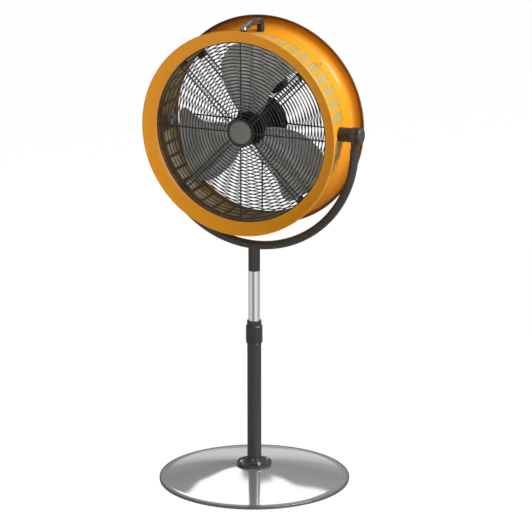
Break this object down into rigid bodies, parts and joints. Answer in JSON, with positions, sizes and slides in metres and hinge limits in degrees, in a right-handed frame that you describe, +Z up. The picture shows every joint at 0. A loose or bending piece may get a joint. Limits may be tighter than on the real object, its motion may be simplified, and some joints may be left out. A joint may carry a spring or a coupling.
{
  "type": "pedestal drum fan",
  "caption": "Pedestal drum fan: a windowed round drum with wire guards tilts in a tubular yoke on a telescopic pole with a round foot.",
  "frame": {"origin": "on the floor under the pole's axis", "axes": "+Z up; the fan blows towards -Y; +X to the tilt knob at the right of the picture"},
  "size_m": [0.752, 0.63, 1.5544],
  "materials": {
    "polished_steel": "polished",
    "iron": "rough, painted",
    "trim_rubber": "matte",
    "bright_chrome": "polished",
    "black_plastic": "fine matte",
    "black_steel": "satin powder coat",
    "plain_steel": "zinc plated",
    "nylon": "smooth",
    "drum_paint": "gloss powder coat",
    "satin_steel": "satin",
    "badge_grey": "satin",
    "badge_brown": "gloss",
    "motor_black": "painted",
    "core_steel": "laminated",
    "blade_grey": "dark satin paint"
  },
  "bodies": {
    "stand": {"base_disc": "polished_steel", "base_weight": "iron", "edge_trim": "trim_rubber", "pole_flange": "black_steel", "flange_bolts": "bright_chrome", "outer_tube": "black_steel", "guide_bush": "black_plastic", "clamp_collet": "black_plastic"},
    "collar": {"lock_collar": "black_plastic"},
    "mast": {"mast_tube": "bright_chrome", "mast_glide": "black_plastic", "pan_pin": "plain_steel"},
    "yoke": {"neck_sleeve": "black_steel", "neck_spigot": "plain_steel", "yoke": "black_steel"},
    "head": {"drum_barrel": "drum_paint", "rear_bell": "drum_paint", "front_ring": "drum_paint", "front_guard": "black_steel", "rear_guard": "black_steel", "front_guard_clips": "black_plastic", "rear_guard_clips": "black_plastic", "guard_screws": "plain_steel", "badge_ring": "badge_brown", "badge_cap": "badge_grey", "handle_grip": "satin_steel", "handle_feet": "black_plastic", "handle_screws": "plain_steel", "motor_housing": "motor_black", "motor_front_cover": "motor_black", "motor_rear_cover": "motor_black", "bearing_front": "plain_steel", "bearing_rear": "plain_steel", "stator": "core_steel", "motor_mount": "black_steel", "mount_bolts": "plain_steel", "terminal_box": "black_plastic", "switch_box": "black_plastic", "box_bracket": "black_steel", "cable_gland": "black_plastic", "pivot_boss_left": "black_steel", "pivot_boss_right": "black_steel", "pivot_plate_left": "plain_steel", "pivot_plate_right": "plain_steel", "friction_washer_left": "nylon", "friction_washer_right": "nylon"},
    "impeller": {"fan_hub": "blade_grey", "fan_blade_1": "blade_grey", "fan_blade_2": "blade_grey", "fan_blade_3": "blade_grey", "motor_shaft": "plain_steel", "rotor": "core_steel", "hub_nut": "plain_steel"},
    "speed_knob": {"switch_knob": "black_plastic"},
    "left_knob": {"tilt_knob_left": "black_plastic", "tilt_stud_left": "plain_steel"},
    "right_knob": {"tilt_knob_right": "black_plastic", "tilt_stud_right": "plain_steel"}
  },
  "joints": [
    {"name": "collar_twist", "type": "hinge", "parent": "stand", "child": "collar", "pos_m": [0, 0, 0.5], "axis": [0, 0, 1], "range_deg": [0, 120]},
    {"name": "mast_lift", "type": "slide", "parent": "stand", "child": "mast", "axis": [0, 0, 1], "range_m": [-0.16, 0.2]},
    {"name": "yoke_pan", "type": "hinge", "parent": "mast", "child": "yoke", "pos_m": [0, 0, 0.7], "axis": [0, 0, 1], "continuous": true},
    {"name": "head_tilt", "type": "hinge", "parent": "yoke", "child": "head", "pos_m": [0, 0, 1.203], "axis": [1, 0, 0], "range_deg": [-22, 32]},
    {"name": "impeller_spin", "type": "hinge", "parent": "head", "child": "impeller", "pos_m": [0, 0, 1.203], "axis": [0, 1, 0], "continuous": true},
    {"name": "speed_knob_turn", "type": "hinge", "parent": "head", "child": "speed_knob", "pos_m": [0.046, 0.11, 1.325], "axis": [0, 1, 0], "range_deg": [0, 135]},
    {"name": "left_knob_turn", "type": "hinge", "parent": "yoke", "child": "left_knob", "pos_m": [-0.37, 0, 1.203], "axis": [-1, 0, 0], "range_deg": [0, 360]},
    {"name": "right_knob_turn", "type": "hinge", "parent": "yoke", "child": "right_knob", "pos_m": [0.37, 0, 1.203], "axis": [1, 0, 0], "range_deg": [0, 360]}
  ]
}
